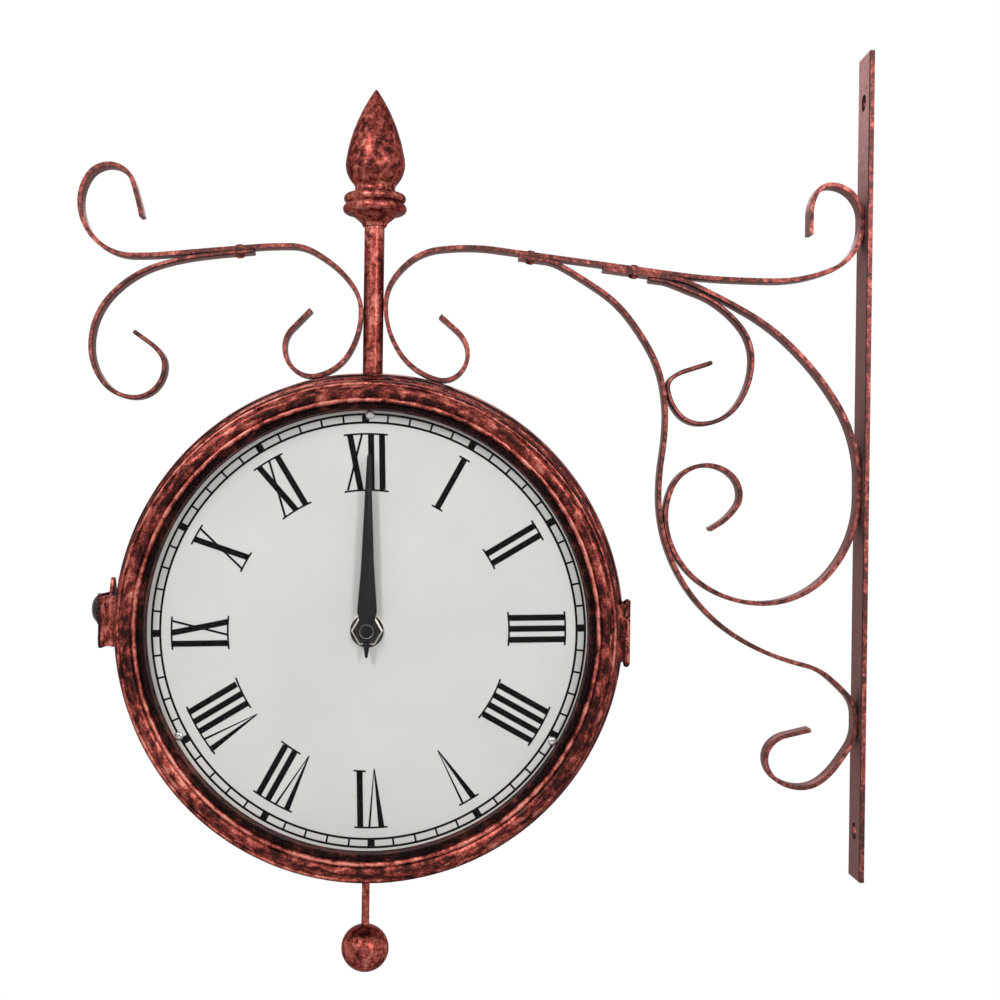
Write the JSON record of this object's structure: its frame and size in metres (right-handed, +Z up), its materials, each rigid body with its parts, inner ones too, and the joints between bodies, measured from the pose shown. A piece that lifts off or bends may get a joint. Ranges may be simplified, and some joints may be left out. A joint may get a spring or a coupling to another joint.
{
  "type": "station clock",
  "caption": "Double-sided station clock on a scrolled wall bracket: copper-finished drum case, two white Roman dials, hinged front bezel, spear finial and ball drop.",
  "frame": {"origin": "back face of the wall plate, midway between its two screw holes", "axes": "+X into the wall, square to the wall plate; +Z up along the plate; the front dial faces -Y"},
  "size_m": [0.3736, 0.08, 0.4371],
  "materials": {
    "antique_copper": "steel in a mottled antique copper finish, worn bright on the edges",
    "cast_copper": "turned light alloy in the same antique copper finish",
    "dark_steel": "blackened steel",
    "bright_steel": "zinc-plated steel",
    "clear_glass": "clear flat glass",
    "dial_white": "off-white enamelled sheet with black print",
    "hand_black": "satin black enamelled sheet",
    "nut_black": "turned brass, blackened, its edges bright",
    "black_plastic": "moulded black plastic",
    "gear_plastic": "natural white acetal",
    "knob_red": "moulded red plastic",
    "battery_wrap": "plain wrapped steel can",
    "board_green": "green circuit board",
    "coil_copper": "enamelled copper wire on a bobbin"
  },
  "bodies": {
    "bracket_and_case": {"wall_plate": "antique_copper", "upper_left_scroll": "antique_copper", "lower_left_scroll": "antique_copper", "bracket_arm": "antique_copper", "brace_scroll": "antique_copper", "small_scroll": "antique_copper", "large_scroll": "antique_copper", "strip_rivets": "antique_copper", "hanger_rod": "antique_copper", "rod_nut": "bright_steel", "finial": "cast_copper", "drop_rod": "antique_copper", "drop_rod_nut": "bright_steel", "drop_ball": "cast_copper", "drum_shell": "antique_copper", "rear_bezel": "antique_copper", "rear_lens": "clear_glass", "rear_dial": "dial_white", "rear_dial_screws": "bright_steel", "case_hinge_leaf": "antique_copper", "hinge_pin": "dark_steel", "case_hinge_rivets": "antique_copper", "latch_plate": "antique_copper", "rear_movement_case": "black_plastic", "rear_movement_cover": "black_plastic", "rear_battery": "battery_wrap", "rear_battery_contacts": "bright_steel", "rear_circuit_board": "board_green", "rear_motor_coil": "coil_copper", "rear_fixing_nut": "nut_black"},
    "front_door": {"front_bezel": "antique_copper", "front_lens": "clear_glass", "front_dial": "dial_white", "front_dial_screws": "bright_steel", "door_hinge_leaf": "antique_copper", "latch_strap": "dark_steel", "door_rivets": "antique_copper", "front_movement_case": "black_plastic", "front_movement_cover": "black_plastic", "front_battery": "battery_wrap", "front_battery_contacts": "bright_steel", "front_circuit_board": "board_green", "front_motor_coil": "coil_copper", "front_fixing_nut": "nut_black"},
    "latch_washer": {"latch_washer": "dark_steel"},
    "thumb_screw": {"thumb_screw": "dark_steel"},
    "front_minute": {"front_minute_wheel": "gear_plastic", "front_minute_hand": "hand_black", "front_hand_cap": "hand_black"},
    "front_motion": {"front_motion_wheel": "gear_plastic", "front_set_knob": "knob_red"},
    "front_hour": {"front_hour_wheel": "gear_plastic", "front_hour_hand": "hand_black"},
    "rear_minute": {"rear_minute_wheel": "gear_plastic", "rear_minute_hand": "hand_black", "rear_hand_cap": "hand_black"},
    "rear_motion": {"rear_motion_wheel": "gear_plastic", "rear_set_knob": "knob_red"},
    "rear_hour": {"rear_hour_wheel": "gear_plastic", "rear_hour_hand": "hand_black"}
  },
  "joints": [
    {"name": "front_door_hinge", "type": "hinge", "parent": "bracket_and_case", "child": "front_door", "pos_m": [-0.1131, -0.01415, -0.0788], "axis": [0, 0, 1], "range_deg": [0, 110]},
    {"name": "latch_travel", "type": "slide", "parent": "bracket_and_case", "child": "latch_washer", "axis": [-1, 0, 0], "range_m": [-0.0008, 0.0022]},
    {"name": "thumb_screw_turn", "type": "hinge", "parent": "latch_washer", "child": "thumb_screw", "pos_m": [-0.3585, -0.002, -0.0718], "axis": [-1, 0, 0], "range_deg": [-361, 991]},
    {"name": "front_minute_turn", "type": "hinge", "parent": "front_door", "child": "front_minute", "pos_m": [-0.2335, 0, -0.0788], "axis": [0, 1, 0], "continuous": true},
    {"name": "front_motion_turn", "type": "hinge", "parent": "front_door", "child": "front_motion", "pos_m": [-0.2215, 0, -0.0788], "axis": [0, 1, 0], "continuous": true},
    {"name": "front_hour_turn", "type": "hinge", "parent": "front_door", "child": "front_hour", "pos_m": [-0.2335, 0, -0.0788], "axis": [0, 1, 0], "continuous": true},
    {"name": "rear_minute_turn", "type": "hinge", "parent": "bracket_and_case", "child": "rear_minute", "pos_m": [-0.2335, 0, -0.0788], "axis": [0, -1, 0], "continuous": true},
    {"name": "rear_motion_turn", "type": "hinge", "parent": "bracket_and_case", "child": "rear_motion", "pos_m": [-0.2455, 0, -0.0788], "axis": [0, -1, 0], "continuous": true},
    {"name": "rear_hour_turn", "type": "hinge", "parent": "bracket_and_case", "child": "rear_hour", "pos_m": [-0.2335, 0, -0.0788], "axis": [0, -1, 0], "continuous": true}
  ],
  "couplings": [
    {"joint": "thumb_screw_turn", "follows": "latch_travel", "rad_per_m": 7854},
    {"joint": "front_motion_turn", "follows": "front_minute_turn", "ratio": -0.33333},
    {"joint": "front_hour_turn", "follows": "front_minute_turn", "ratio": 0.083333},
    {"joint": "rear_motion_turn", "follows": "rear_minute_turn", "ratio": -0.33333},
    {"joint": "rear_hour_turn", "follows": "rear_minute_turn", "ratio": 0.083333}
  ]
}
